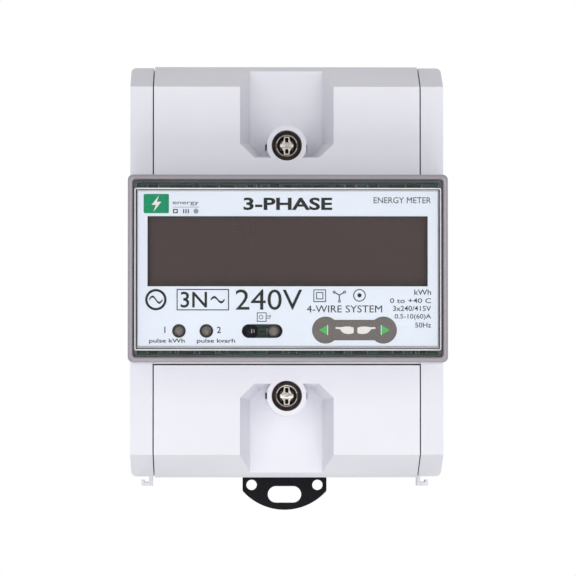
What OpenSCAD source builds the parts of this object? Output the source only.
// Three-phase energy meter for a 35 mm DIN rail.
// Origin: centre of the face that rests on the rail. +Z up, the front faces -Y.
// Every module is drawn lying down (x across, y up the meter, z out of the wall) and
// turn_upright() stands it up.

/* [Body] */
// Width of the meter, four DIN modules
body_w = 76.2; // [75.8:0.1:77]
// Height of the housing with its terminal covers
body_h = 100.8; // [100.4:0.2:102]
// Depth of the housing behind the rail face
back_d = 6; // [6:0.1:6.6]
// Height above the rail face where base and front housing meet
split_z = 16; // [15.6:0.1:16.2]
// Height of the cheeks and terminal covers above the rail face
cheek_z = 39; // [38.6:0.1:40]
// Height of the window front above the rail face
nose_z = 59; // [58.6:0.1:60]
// Thickness of the outer walls
wall_t = 2; // [1.8:0.1:2]

/* [Window and display] */
// Width of the clear window cover
window_w = 76.6; // [76.2:0.1:77]
// Height of the clear window cover
window_h = 45; // [44.6:0.1:45.2]
// Depth of the clear window cover
window_d = 12; // [11.6:0.1:12.2]
// Front thickness of the window cover
window_t = 2; // [1.8:0.1:2]
// Width of the printed label plate
label_w = 71.6; // [71:0.1:71.8]
// Height of the printed label plate
label_h = 37; // [36.6:0.1:37.2]
// Width of the display opening
display_w = 66.6; // [66:0.1:66.8]

/* [Terminal covers] */
// Width of a terminal cover
cover_w = 64.7; // [64.5:0.1:64.8]
// Wall thickness of a terminal cover
cover_t = 1.8; // [1.6:0.1:1.8]
// Distance of the cover screw from the centre line of the meter
cover_screw_y = 30.5; // [30.2:0.1:30.8]
// Outer diameter of the screw boss at its rim
boss_d = 9.7; // [9.5:0.1:10]
// Diameter of the hole that holds the cover screw
boss_hole_d = 7.4; // [7.3:0.1:7.6]
// Diameter of the cover screw's head
seal_head_d = 5.35; // [5:0.05:5.4]

/* [Terminals] */
// Distance of the inner terminals from the middle
inner_terminal_x = 9; // [9:0.1:9.1]
// Distance of the outer terminals from the middle
outer_terminal_x = 23; // [22.9:0.1:23]
// Distance of the terminal screws from the centre line
terminal_y = 34; // [33.8:0.1:34]
// Height of the conductor bar's lower face above the rail face
bar_z = 13; // [12.9:0.1:13]

/* [Rail clip] */
// Width of the rail clip
clip_w = 21.3; // [21:0.1:21.4]
// Lowest point of the rail clip below the centre line
clip_low_y = 59.6; // [59.2:0.2:60.4]
// Height of the rail that the meter sits on
rail_h = 35; // [35:0.1:35.2]

/* [Hidden] */
$fn = 48;

half_w = body_w / 2;
half_h = body_h / 2;
inner_x = half_w - wall_t;
cheek_x = cover_w / 2 + 0.3;
cheek_wall = 1.4;
floor_z = wall_t - back_d;
chamber_y = 20.9;
nose_y = window_h / 2 + 0.2;
collar_z = nose_z - window_d;
bevel_y = half_h - 5.6;
bevel_z = cheek_z - 14;
corner_r = 1.2;
seam = 0.05;

cover_y = nose_y + 0.35;
cover_end = half_h + 0.25;
cover_foot_z = 14;
wire_way_z = 18;
recess_hw = 11.4;
recess_bed_hw = 8.9;
recess_y = 27.5;
recess_z = cheek_z - 11;
seal_shelf_z = 35.1;
seal_head_h = 2.6;
seal_shank_d = 3;
seal_flange_d = boss_hole_d - 0.3;

channel_y = rail_h / 2 + 0.4;
seat_y = 15.5;
seat_step = 0.3;
clip_hw = clip_w / 2;
clip_gap = 0.25;
clip_back = -4.65;
clip_face = -2.6;
clip_tip_y = -16;
clip_travel = 5;
clip_thumb_r = 2.1;
ear_x = 8.35;
spring_d = 3.4;
spring_z = -3.6;
spring_top = -28;
spring_end = -38;

TERMINALS = [-outer_terminal_x, -inner_terminal_x, inner_terminal_x, outer_terminal_x];
bar_t = 1.6;
block_hw = 30.4;
block_y0 = 23.1;
block_y1 = 40;
block_z0 = 0.9;
block_z1 = 25.5;
pocket_hw = 5.6;
pocket_y0 = 29.5;
pocket_z0 = 2.8;
pocket_z1 = 20;
cage_hw = 5.2;
cage_hy = 4;
cage_z0 = 3.1;
cage_z1 = 16.7;
cage_bore_hw = 4.2;
clamp_screw_d = 5;
clamp_head_d = 8;
clamp_head_h = 3.5;
head_z = 21.55;
insert_z = 19.4;
insert_h = 6;
aux_pitch = 3.6;
AUX_X = [for (i = [0:3]) 16.8 + i * aux_pitch];
aux_y = 26.3;
aux_z0 = 25.6;
aux_z1 = 34.4;

main_board_z = 22;
board_t = 1.6;
parts_z = main_board_z + board_t + seam;
display_board_z = collar_z + 2;
carrier_z = display_board_z + board_t + seam;
label_z = nose_z - window_t - 0.6;
lcd_y0 = -5.3;
lcd_y1 = 13.6;
led_y = -14.9;
LED_X = [-26, -19.45];
SENSOR_X = [-8.9, -3.35];
TOUCH_X = [9, 22.8];
touch_y = -14.7;
DISPLAY_SCREWS = [[-31.5, 16.7], [31.5, 16.7], [-31.5, -17], [31.5, -17]];
MAIN_SCREWS = [[-33, 17.4], [33, 17.4], [-33, -17.4], [33, -17.4]];
HOUSING_SCREWS = [[-35, 45], [35, 45], [-35, -45], [35, -45]];

SHELL = [0.87, 0.87, 0.89];
BOARD = [0.12, 0.42, 0.25];
BRASS = [0.78, 0.66, 0.38];
STEEL = [0.72, 0.72, 0.70];
COPPER = [0.80, 0.50, 0.32];
DARK = [0.12, 0.12, 0.13];

// ---- helpers ----

module turn_upright() { rotate([90, 0, 0]) children(); }

// Box between two corners
module span(low, high) { translate(low) cube(high - low); }

// Box centred on x = 0 and y = 0
module middle_box(half_x, half_y, z0, z1) { span([-half_x, -half_y, z0], [half_x, half_y, z1]); }

module left_and_right() { children(); mirror([1, 0, 0]) children(); }

module top_and_bottom() { children(); mirror([0, 1, 0]) children(); }

// The lower end of the meter repeats the upper end upside down
module at_end(upper) { mirror([0, upper ? 0 : 1, 0]) children(); }

// Outline in y and z, pushed from x0 to x1
module across(x0, x1, outline) {
    translate([x0, 0, 0]) rotate([90, 0, 90]) linear_extrude(x1 - x0) polygon(outline);
}

// Upright plate with round corners, made of two boxes and four cylinders
module round_plate(half_x, half_y, r, z0, z1) {
    middle_box(half_x - r, half_y, z0, z1);
    middle_box(half_x, half_y - r, z0, z1);
    for (sx = [-1, 1], sy = [-1, 1])
        translate([sx * (half_x - r), sy * (half_y - r), z0]) cylinder(r = r, h = z1 - z0);
}

// ---- housing ----

// Side outline of a cheek, with both ends sloped back; inset keeps it inside its own walls
function cheek_outline(z0, inset) = let(y1 = half_h - inset, b = bevel_y - 0.65 * inset)
    [[-y1, z0], [-y1, bevel_z - 0.2 * inset], [-b, cheek_z - inset],
     [b, cheek_z - inset], [y1, bevel_z - 0.2 * inset], [y1, z0]];

// Part of the base that guides the clip, seen from behind as a shallow channel
module clip_guide() {
    difference() {
        span([-clip_hw - 2.25, -half_h, -back_d], [clip_hw + 2.25, -chamber_y, 0.6]);
        span([-clip_hw - clip_gap, -half_h - 1, -back_d - 1],
            [clip_hw + clip_gap, -chamber_y + 3, clip_face + clip_gap]);
        // deeper end that the clip's nose slides back into
        span([-clip_hw - clip_gap, clip_tip_y - 3.5 - clip_travel - 0.6, -back_d - 1],
            [clip_hw + clip_gap, -chamber_y + 3, -1]);
        span([-2.1, spring_end, clip_face], [2.1, spring_top + 0.3, -1.6]);
    }
    // lips that keep the clip from falling out backwards
    left_and_right() span([8.9, -half_h, -back_d], [clip_hw + 1, -26.4, clip_back - clip_gap]);
    // post that the clip spring pushes against
    span([-1.6, spring_end - 2, -5.2], [1.6, spring_end, clip_face + 0.5]);
}

module base_housing() {
    color(SHELL) turn_upright() difference() {
        union() {
            difference() {
                round_plate(half_w, half_h, corner_r, -back_d, split_z);
                // room for the boards and transformers
                middle_box(inner_x, chamber_y, seat_step + wall_t, split_z + 1);
                // terminal rooms, open at the ends, and the hollow cheeks beside them
                top_and_bottom() {
                    span([-cheek_x, nose_y, floor_z], [cheek_x, half_h + 1, split_z + 1]);
                    left_and_right() span([cheek_x + cheek_wall, nose_y, floor_z],
                        [inner_x, half_h - wall_t, split_z + 1]);
                }
                // slots that let the conductor bars through
                for (x = TERMINALS) span([x - 4.1, -nose_y - 1, bar_z - 0.3],
                    [x + 4.1, nose_y + 1, split_z + 1]);
                // channel for the rail, with a raised seat
                middle_box(half_w + 1, channel_y, -back_d - 1, 0);
                top_and_bottom() span([-half_w - 1, seat_y, -1],
                    [half_w + 1, channel_y, seat_step]);
                // place of the clip guide
                span([-clip_hw - 2.2, -half_h - 1, -back_d - 1],
                    [clip_hw + 2.2, -channel_y + 1, 0]);
            }
            clip_guide();
            // wall beside the rail, over the clip nose
            span([-clip_hw - 2.25, -nose_y, -0.9], [clip_hw + 2.25, -channel_y, 1]);
            left_and_right() span([clip_hw + clip_gap, -nose_y, -back_d],
                [clip_hw + 2.25, -channel_y, 1]);
            // fixed hooks that hold the upper edge of the rail
            left_and_right() span([8, rail_h / 2 - 1.4, -3.2], [30, channel_y + 1, -1.3]);
            // ribs under the terminal blocks
            top_and_bottom() for (y = [24, 38]) left_and_right()
                span([14, y, floor_z - 0.5], [29.5, y + 1.4, block_z0 - 0.05]);
            span([-12, 24, floor_z - 0.5], [12, 25.4, block_z0 - 0.05]);
            span([-12, -25.4, -0.5], [12, -24, block_z0 - 0.05]);
            // posts for the main board
            for (p = MAIN_SCREWS) translate([p.x, p.y, 1])
                cylinder(d = 5, h = main_board_z - 1.05);
            // solid corners round the housing screws
            for (p = HOUSING_SCREWS) span([p.x - 2, p.y - 3, floor_z - 1],
                [p.x + 2, p.y + 3, split_z]);
            // small feet under the cheeks
            left_and_right() {
                span([33.4, -half_h - 3, -5], [34.3, -half_h + 1, 1]);
                span([33.4, -half_h - 3, -5], [36.2, -half_h - 2.1, 1]);
                span([35.5, -half_h - 3, -5], [36.2, -half_h - 1.6, 1]);
            }
        }
        for (p = MAIN_SCREWS) translate([p.x, p.y, 12]) cylinder(d = 1.8, h = 12);
        for (p = HOUSING_SCREWS) translate([p.x, p.y, 0]) {
            translate([0, 0, -back_d - 1]) cylinder(d = 4.5, h = 3.4);
            translate([0, 0, -back_d]) cylinder(d = 2.8, h = 30);
        }
    }
}

module front_housing() {
    color(SHELL) turn_upright() difference() {
        union() {
            difference() {
                union() {
                    intersection() {
                        left_and_right() across(cheek_x, half_w, cheek_outline(split_z + seam, 0));
                        round_plate(half_w, half_h, corner_r, split_z, cheek_z + 1);
                    }
                    middle_box(half_w, nose_y, split_z + seam, cheek_z - 1);
                    round_plate(half_w, nose_y, corner_r, cheek_z - 2, collar_z);
                }
                left_and_right() across(cheek_x + cheek_wall, inner_x,
                    cheek_outline(split_z - 1, wall_t));
                middle_box(inner_x, chamber_y, split_z - 1, collar_z + 1);
            }
            // shelf that carries the display board
            difference() {
                middle_box(inner_x + 0.5, chamber_y + 0.5, collar_z - 2, collar_z - 0.5);
                middle_box(28, 13.5, collar_z - 3, collar_z);
            }
            for (p = DISPLAY_SCREWS) translate([p.x, p.y, collar_z - 4])
                cylinder(d = 4.6, h = 5.95);
            // tongue that centres the window cover
            difference() {
                middle_box(inner_x + 0.3, chamber_y - 0.1, collar_z - 1, collar_z + 0.9);
                middle_box(inner_x - 0.7, chamber_y - 1, collar_z - 2, collar_z + 2);
            }
            for (p = HOUSING_SCREWS) span([p.x - 2, p.y - 3, split_z + seam],
                [p.x + 2, p.y + 3, 27]);
        }
        for (p = DISPLAY_SCREWS) translate([p.x, p.y, collar_z - 3.5]) cylinder(d = 1.7, h = 8);
        for (p = HOUSING_SCREWS) translate([p.x, p.y, split_z - 1]) cylinder(d = 2.1, h = 10);
        // slot for the legs of the auxiliary terminals
        span([AUX_X[0] - 2, chamber_y - 1, aux_z0], [AUX_X[3] + 2, nose_y + 1, aux_z0 + 4]);
    }
}

// ---- window and display ----

module window_cover() {
    color([0.80, 0.84, 0.86, 0.45]) turn_upright() difference() {
        hull() {
            round_plate(window_w / 2, window_h / 2, corner_r, collar_z + seam, nose_z - 1.2);
            // rounded front rim in two steps
            for (step = [[0.35, 0.4], [1.1, 0]]) round_plate(window_w / 2 - step.x,
                window_h / 2 - step.x, corner_r, collar_z + 1, nose_z - step.y);
        }
        middle_box(half_w - 1.6, chamber_y, collar_z - 1, nose_z - window_t);
    }
}

// Opening shaped like a pill between two points on one line
module pill(x0, x1, y, r, z0, z1) {
    for (x = [x0, x1]) translate([x, y, z0]) cylinder(r = r, h = z1 - z0);
    span([x0, y - r, z0], [x1, y + r, z1]);
}

// Openings that label and carrier share; grow widens them
module display_openings(z0, z1, grow) {
    span([-display_w / 2 - grow, -4.15 - grow, z0], [display_w / 2 + grow, 12.45 + grow, z1]);
    for (x = LED_X) translate([x, led_y, z0]) cylinder(r = 1.62 + grow, h = z1 - z0);
    pill(-9.35, -2.9, -14.93, 1.63 + grow, z0, z1);
}

module label_plate() {
    color([0.93, 0.94, 0.97]) turn_upright() difference() {
        middle_box(label_w / 2, label_h / 2, label_z, label_z + 0.5);
        display_openings(label_z - 1, label_z + 1, 0);
    }
}

module display_carrier() {
    color([0.90, 0.90, 0.91]) turn_upright() difference() {
        middle_box(35.95, 19.2, carrier_z, label_z + 0.3);
        // bed for the label plate
        middle_box(label_w / 2 + 0.05, label_h / 2 + 0.05, label_z - 0.03, label_z + 1);
        display_openings(label_z - 2, label_z, 0.05);
        // pocket for the display
        span([-34.5, lcd_y0 - 0.1, carrier_z - 1], [34.5, lcd_y1 + 0.1, label_z - 1.5]);
        // room for the lamps, sensors and touch springs
        span([-28.5, -17.6, carrier_z - 1], [0.5, -6.5, label_z - 1.2]);
        for (x = TOUCH_X) translate([x, touch_y, carrier_z - 1]) cylinder(r = 3.6, h = 9);
        for (p = DISPLAY_SCREWS) translate([p.x, p.y, carrier_z - 1]) cylinder(r = 2.2, h = 2.6);
    }
}

module lcd_glass() {
    color([0.30, 0.28, 0.27]) turn_upright()
        span([-34.3, lcd_y0, label_z - 4.4], [34.3, lcd_y1, label_z - 1.6]);
}

module lcd_backlight() {
    color([0.92, 0.93, 0.90]) turn_upright()
        span([-33.6, lcd_y0 + 1.9, carrier_z], [33.6, lcd_y1 - 1.9, label_z - 4.45]);
}

// Rubber strips that join the display glass to the board
module lcd_connector_strips() {
    color([0.35, 0.35, 0.37]) turn_upright() for (y = [lcd_y0 + 0.2, lcd_y1 - 1.6])
        span([-33, y, carrier_z], [33, y + 1.4, label_z - 4.45]);
}

module display_board() {
    color(BOARD) turn_upright() difference() {
        middle_box(inner_x + 0.1, chamber_y - 0.2, display_board_z, display_board_z + board_t);
        for (p = DISPLAY_SCREWS) translate([p.x, p.y, display_board_z - 1])
            cylinder(d = 2.3, h = 4);
    }
}

// Round-nosed light component, 3 mm across, standing on the display board
module lamp(x, y, colour) {
    tip = label_z + 0.2;
    color(colour) turn_upright() translate([x, y, 0]) {
        translate([0, 0, carrier_z]) cylinder(d = 3.6, h = 0.9);
        translate([0, 0, carrier_z]) cylinder(d = 3, h = tip - carrier_z - 1.5);
        translate([0, 0, tip - 1.5]) sphere(d = 3);
    }
}

module pulse_leds() { for (x = LED_X) lamp(x, led_y, [0.55, 0.50, 0.52]); }

module infrared_emitter() { lamp(SENSOR_X[0], -14.93, DARK); }

module infrared_receiver() { lamp(SENSOR_X[1], -14.93, [0.75, 0.80, 0.80]); }

module touch_springs() {
    color(STEEL) turn_upright() for (x = TOUCH_X) translate([x, touch_y, carrier_z])
        difference() {
            cylinder(d = 6.2, h = label_z - carrier_z - 0.05);
            translate([0, 0, -1]) cylinder(d = 5, h = label_z - carrier_z);
        }
}

// Pan-head screw standing head up; z is the underside of its head
module pan_screw(p, z, head_d, head_h, shank_d, shank_l) {
    translate([p.x, p.y, z]) difference() {
        union() {
            cylinder(d = head_d, h = head_h);
            translate([0, 0, -shank_l]) cylinder(d = shank_d, h = shank_l + 0.1);
        }
        translate([0, 0, head_h * 0.45]) for (turn = [0, 90]) rotate(turn)
            middle_box(head_d * 0.33, head_d * 0.07, 0, head_h);
    }
}

module display_board_screws() {
    color(STEEL) turn_upright() for (p = DISPLAY_SCREWS)
        pan_screw(p, carrier_z, 3.8, 1.4, 1.66, 6);
}

// ---- electronics ----

module main_board() {
    color(BOARD) turn_upright() difference() {
        middle_box(35.6, 20.4, main_board_z, main_board_z + board_t);
        for (p = MAIN_SCREWS) translate([p.x, p.y, main_board_z - 1]) cylinder(d = 2.6, h = 4);
    }
}

module main_board_screws() {
    color(STEEL) turn_upright() for (p = MAIN_SCREWS)
        pan_screw(p, main_board_z + board_t + 0.03, 4.2, 1.6, 1.76, 8);
}

// Pin strip between the two boards
module board_header() {
    color(DARK) turn_upright() {
        span([-13, 9.8, parts_z], [13, 12.3, parts_z + 2.5]);
        span([-13, 9.8, display_board_z - 8.5], [13, 12.3, display_board_z - seam]);
        for (i = [0:9]) translate([-11.43 + i * 2.54, 11.05, parts_z + 1])
            cylinder(d = 0.7, h = 20, $fn = 16);
    }
}

// Flat chip with two rows of legs
module flat_chip(low, size, legs) {
    color(DARK) turn_upright() {
        translate(low) cube(size);
        pitch = (size.x - 0.8) / (legs - 1);
        for (i = [0:legs - 1]) translate([low.x + 0.2 + i * pitch, low.y - 0.8, low.z])
            cube([0.4, size.y + 1.6, 0.4]);
    }
}

module metering_chip() { flat_chip([-6, -9, parts_z], [10, 7, 1.6], 8); }

module processor_chip() { flat_chip([-6, 0.2, parts_z], [9, 8, 1.4], 8); }

// Ring-shaped current transformers, one round each phase bar
module current_transformers() {
    color([0.16, 0.22, 0.45]) turn_upright() for (x = [TERMINALS[0], TERMINALS[1], TERMINALS[2]])
        translate([x, 0, bar_z + bar_t / 2]) rotate([90, 0, 0]) difference() {
            cylinder(d = 13.4, h = 9, center = true);
            cylinder(d = 6, h = 12, center = true);
        }
}

// Conductor bar from a lower terminal up to the upper one, slimmer where it passes the ring
module busbar(x) {
    end_y = terminal_y + 3.5;
    color(COPPER) turn_upright() {
        top_and_bottom() span([x - 3.8, 9, bar_z], [x + 3.8, end_y, bar_z + bar_t]);
        span([x - 2.5, -10, bar_z], [x + 2.5, 10, bar_z + bar_t]);
    }
}

module busbar_1() { busbar(TERMINALS[0]); }
module busbar_2() { busbar(TERMINALS[1]); }
module busbar_3() { busbar(TERMINALS[2]); }
module busbar_4() { busbar(TERMINALS[3]); }

module power_transformer() {
    color([0.20, 0.20, 0.22]) turn_upright() {
        span([-32, -11, parts_z + 2], [-12, 6, parts_z + 14]);
        color([0.75, 0.72, 0.40]) span([-28, -13, parts_z], [-16, 8, parts_z + 15.5]);
    }
}

module filter_capacitors() {
    color([0.15, 0.15, 0.30]) turn_upright() for (x = [19, 29])
        translate([x, 10, parts_z]) cylinder(d = 8, h = 14);
}

module surge_varistors() {
    color([0.15, 0.30, 0.60]) turn_upright() for (x = [10, 19, 28]) {
        translate([x, -14, parts_z + 6.5]) rotate([90, 0, 0]) cylinder(d = 8, h = 3);
        for (leg = [-2.5, 2.5]) translate([x + leg, -15.5, parts_z])
            cylinder(d = 0.7, h = 5, $fn = 16);
    }
}

module optocouplers() { for (x = [14, 24]) flat_chip([x, -6, parts_z], [4.6, 6.4, 3.2], 2); }

// ---- terminals ----

// Insulating block with four clamp pockets, open towards the end of the meter
module terminal_block() {
    color([0.80, 0.80, 0.82]) turn_upright() difference() {
        span([-block_hw, block_y0, block_z0], [block_hw, block_y1, block_z1]);
        for (x = TERMINALS) {
            span([x - pocket_hw, pocket_y0, pocket_z0], [x + pocket_hw, block_y1 + 1, pocket_z1]);
            span([x - 4, block_y0 - 1, bar_z - 0.2], [x + 4, pocket_y0 + 1, bar_z + bar_t + 0.2]);
            translate([x, terminal_y, pocket_z1 - 1]) cylinder(d = clamp_screw_d + 0.2, h = 4);
            translate([x, terminal_y, head_z - seam]) cylinder(d = clamp_head_d + 0.6, h = 6);
        }
        translate([0, cover_screw_y, insert_z - 1]) cylinder(d = 4.4, h = 10);
    }
}

module upper_terminal_block() { terminal_block(); }

module lower_terminal_block() { mirror([0, 0, 1]) terminal_block(); }

// Screw that draws a clamp up against its bar
module terminal_screw(x, upper) {
    color(STEEL) turn_upright() at_end(upper) translate([x, terminal_y, 0]) difference() {
        union() {
            translate([0, 0, bar_z + bar_t + seam])
                cylinder(d = clamp_screw_d, h = head_z - bar_z - bar_t);
            translate([0, 0, head_z]) cylinder(d = clamp_head_d, h = clamp_head_h);
        }
        for (turn = [0, 90]) rotate(turn) middle_box(3, 0.6, head_z + 1.6, head_z + 4);
    }
}

// Clamp that the wire goes into, threaded on its screw
module terminal_cage(x, upper) {
    color(BRASS) turn_upright() at_end(upper) difference() {
        span([x - cage_hw, terminal_y - cage_hy, cage_z0],
            [x + cage_hw, terminal_y + cage_hy, cage_z1]);
        span([x - cage_bore_hw, terminal_y - cage_hy - 1, cage_z0 + 1.5],
            [x + cage_bore_hw, terminal_y + cage_hy + 1, cage_z1 - 1.8]);
        translate([x, terminal_y, cage_z1 - 3]) cylinder(d = clamp_screw_d + 0.1, h = 4);
    }
}

module terminal_screw_1() { terminal_screw(TERMINALS[0], true); }
module terminal_screw_2() { terminal_screw(TERMINALS[1], true); }
module terminal_screw_3() { terminal_screw(TERMINALS[2], true); }
module terminal_screw_4() { terminal_screw(TERMINALS[3], true); }
module terminal_screw_5() { terminal_screw(TERMINALS[0], false); }
module terminal_screw_6() { terminal_screw(TERMINALS[1], false); }
module terminal_screw_7() { terminal_screw(TERMINALS[2], false); }
module terminal_screw_8() { terminal_screw(TERMINALS[3], false); }

module terminal_cage_1() { terminal_cage(TERMINALS[0], true); }
module terminal_cage_2() { terminal_cage(TERMINALS[1], true); }
module terminal_cage_3() { terminal_cage(TERMINALS[2], true); }
module terminal_cage_4() { terminal_cage(TERMINALS[3], true); }
module terminal_cage_5() { terminal_cage(TERMINALS[0], false); }
module terminal_cage_6() { terminal_cage(TERMINALS[1], false); }
module terminal_cage_7() { terminal_cage(TERMINALS[2], false); }
module terminal_cage_8() { terminal_cage(TERMINALS[3], false); }

// Four small terminals for the pulse output and the data line
module aux_terminal_block() {
    color([0.20, 0.45, 0.30]) turn_upright() difference() {
        union() {
            span([AUX_X[0] - 1.8, nose_y + 0.4, aux_z0], [AUX_X[3] + 1.8, 29.2, aux_z1]);
            for (x = AUX_X) span([x - 0.4, chamber_y - 3, aux_z0 + 1],
                [x + 0.4, nose_y + 1, aux_z0 + 1.8]);
        }
        for (x = AUX_X) {
            span([x - 1.3, 24.6, aux_z0 + 1.2], [x + 1.3, 30, aux_z0 + 4.2]);
            translate([x, aux_y, aux_z0 + 3]) cylinder(d = 2.04, h = 4);
            translate([x, aux_y, aux_z0 + 6.2]) cylinder(d = 3, h = 4);
        }
    }
}

module aux_screw(x) {
    color(STEEL) turn_upright() pan_screw([x, aux_y], aux_z0 + 6.3, 2.6, 1.8, 2, 2.8);
}

module aux_screw_1() { aux_screw(AUX_X[0]); }
module aux_screw_2() { aux_screw(AUX_X[1]); }
module aux_screw_3() { aux_screw(AUX_X[2]); }
module aux_screw_4() { aux_screw(AUX_X[3]); }

// ---- terminal covers ----

// Outline of the recess at one depth: half width and start of the sides, half width and place
// of the inner end
function recess_outline(hw, side_y, end_hw, end_y) = let(far = cover_end + 10)
    [[hw, far], [hw, side_y], [end_hw, end_y], [-end_hw, end_y], [-hw, side_y], [-hw, far]];

// Funnel-shaped recess round the cover screw; grow thickens it into its own wall
module recess(grow) {
    part = grow * 0.4;
    hull() for (step = [
        [cheek_z, recess_outline(recess_hw + grow, 30.9 - part, 7.9 + part, recess_y - grow)],
        [recess_z - grow, recess_outline(recess_bed_hw + grow, 31.6 - part, 5.9 + part,
            recess_y + 1.1 - grow)]])
        translate([0, 0, step[0]]) linear_extrude(0.01) polygon(step[1]);
}

function cover_outline(z0, inset) = let(y1 = cover_end - inset, b = bevel_y - 0.65 * inset)
    [[cover_y - inset * 3, z0], [cover_y - inset * 3, cheek_z - inset], [b, cheek_z - inset],
     [y1, bevel_z - 0.2 * inset], [y1, z0]];

module terminal_cover() {
    hw = cover_w / 2;
    color([0.88, 0.88, 0.90]) turn_upright() difference() {
        union() {
            difference() {
                across(-hw, hw, cover_outline(cover_foot_z, 0));
                across(-hw + 1.5, hw - 1.5, cover_outline(cover_foot_z - 1, cover_t));
                // the end wall stops short so that wires can pass under it
                span([-hw + 1.5, 45, cover_foot_z - 1], [hw - 1.5, 60, wire_way_z]);
            }
            intersection() {
                recess(cover_t);
                across(-hw, hw, cover_outline(cover_foot_z, 0));
            }
        }
        difference() {
            recess(0);
            translate([0, cover_screw_y, recess_z - 1]) cylinder(r1 = boss_d / 2 + 0.2,
                r2 = boss_d / 2, h = cheek_z - recess_z + 1);
        }
        // hole and shelf of the cover screw
        translate([0, cover_screw_y, seal_shelf_z]) cylinder(d = boss_hole_d, h = 12);
        translate([0, cover_screw_y, insert_z]) cylinder(d = seal_shank_d + 0.3,
            h = seal_shelf_z - insert_z + 1);
        // slits for the seal wire on both sides of the boss
        left_and_right() span([boss_d / 2 - 0.1, cover_screw_y - 0.8, 20],
            [boss_d / 2 + 0.3, cover_screw_y + 0.8, cheek_z + 1]);
    }
}

module upper_terminal_cover() { terminal_cover(); }

module lower_terminal_cover() { mirror([0, 0, 1]) terminal_cover(); }

// Sealing screw: round head with a rim, a cross recess, a flange and a slim shank
module cover_screw(upper) {
    seat = seal_shelf_z + 0.1;
    top = seat + seal_head_h;
    color(STEEL) turn_upright() at_end(upper) translate([0, cover_screw_y, 0]) difference() {
        union() {
            translate([0, 0, seat]) cylinder(d = seal_head_d, h = seal_head_h);
            translate([0, 0, seat]) cylinder(d = seal_flange_d, h = 0.9);
            translate([0, 0, insert_z + 0.6]) cylinder(d = seal_shank_d, h = seat - insert_z);
        }
        translate([0, 0, top - 0.6]) cylinder(d = seal_head_d - 1.05, h = 2);
        for (turn = [0, 90]) rotate(turn) middle_box(1.9, 0.45, top - 1.8, top + 1);
    }
}

module upper_cover_screw() { cover_screw(true); }

module lower_cover_screw() { cover_screw(false); }

module cover_screw_inserts() {
    color(BRASS) turn_upright() top_and_bottom() translate([0, cover_screw_y, insert_z])
        difference() {
            cylinder(d = 4.36, h = insert_h);
            translate([0, 0, -1]) cylinder(d = seal_shank_d + 0.1, h = insert_h + 2);
        }
}

module housing_screws() {
    color(STEEL) turn_upright() for (p = HOUSING_SCREWS) translate([0, 0, -3.65])
        rotate([180, 0, 0]) pan_screw([p.x, -p.y], 0, 4.2, 1.7, 2.06, 24);
}

// ---- rail clip ----

module din_clip() {
    arc_r = (clip_hw * clip_hw + 4.8 * 4.8) / (2 * 4.8);
    arc_y = -clip_low_y + arc_r;
    color(DARK) turn_upright() difference() {
        union() {
            span([-clip_hw, arc_y, clip_back], [clip_hw, clip_tip_y - 3, clip_face]);
            intersection() {
                span([-clip_hw, -clip_low_y - 1, clip_back], [clip_hw, arc_y + 1, clip_face]);
                translate([0, arc_y, clip_back]) cylinder(r = arc_r, h = 4, $fn = 96);
            }
            // nose that grips the lower edge of the rail
            across(-clip_hw, clip_hw, [[clip_tip_y - 3.5, clip_back], [clip_tip_y - 1.6, clip_back],
                [clip_tip_y, -3.4], [clip_tip_y, -1.3], [clip_tip_y - 3.5, -1.3]]);
        }
        // slot for the spring and its post
        span([-2.1, spring_end - 2.3, -6], [2.1, spring_top, 0]);
        // slot for a screwdriver blade and two round holes
        pill(-2.15, 2.15, -clip_low_y + 3.9, clip_thumb_r, -6, 0);
        for (x = [-ear_x, ear_x]) translate([x, -clip_low_y + 6.3, -6]) cylinder(d = 2.65, h = 6);
    }
}

module clip_spring() {
    color(STEEL) turn_upright() translate([0, spring_end + seam, spring_z]) rotate([-90, 0, 0])
        difference() {
            cylinder(d = spring_d, h = spring_top - spring_end - 2 * seam);
            translate([0, 0, -1]) cylinder(d = spring_d - 1, h = 20);
        }
}

base_housing();
front_housing();
window_cover();
label_plate();
display_carrier();
lcd_glass();
lcd_backlight();
lcd_connector_strips();
display_board();
pulse_leds();
infrared_emitter();
infrared_receiver();
touch_springs();
display_board_screws();
main_board();
board_header();
main_board_screws();
metering_chip();
processor_chip();
current_transformers();
busbar_1();
busbar_2();
busbar_3();
busbar_4();
power_transformer();
filter_capacitors();
surge_varistors();
optocouplers();
upper_terminal_block();
lower_terminal_block();
terminal_screw_1();
terminal_screw_2();
terminal_screw_3();
terminal_screw_4();
terminal_screw_5();
terminal_screw_6();
terminal_screw_7();
terminal_screw_8();
terminal_cage_1();
terminal_cage_2();
terminal_cage_3();
terminal_cage_4();
terminal_cage_5();
terminal_cage_6();
terminal_cage_7();
terminal_cage_8();
aux_terminal_block();
aux_screw_1();
aux_screw_2();
aux_screw_3();
aux_screw_4();
upper_terminal_cover();
lower_terminal_cover();
upper_cover_screw();
lower_cover_screw();
cover_screw_inserts();
housing_screws();
din_clip();
clip_spring();
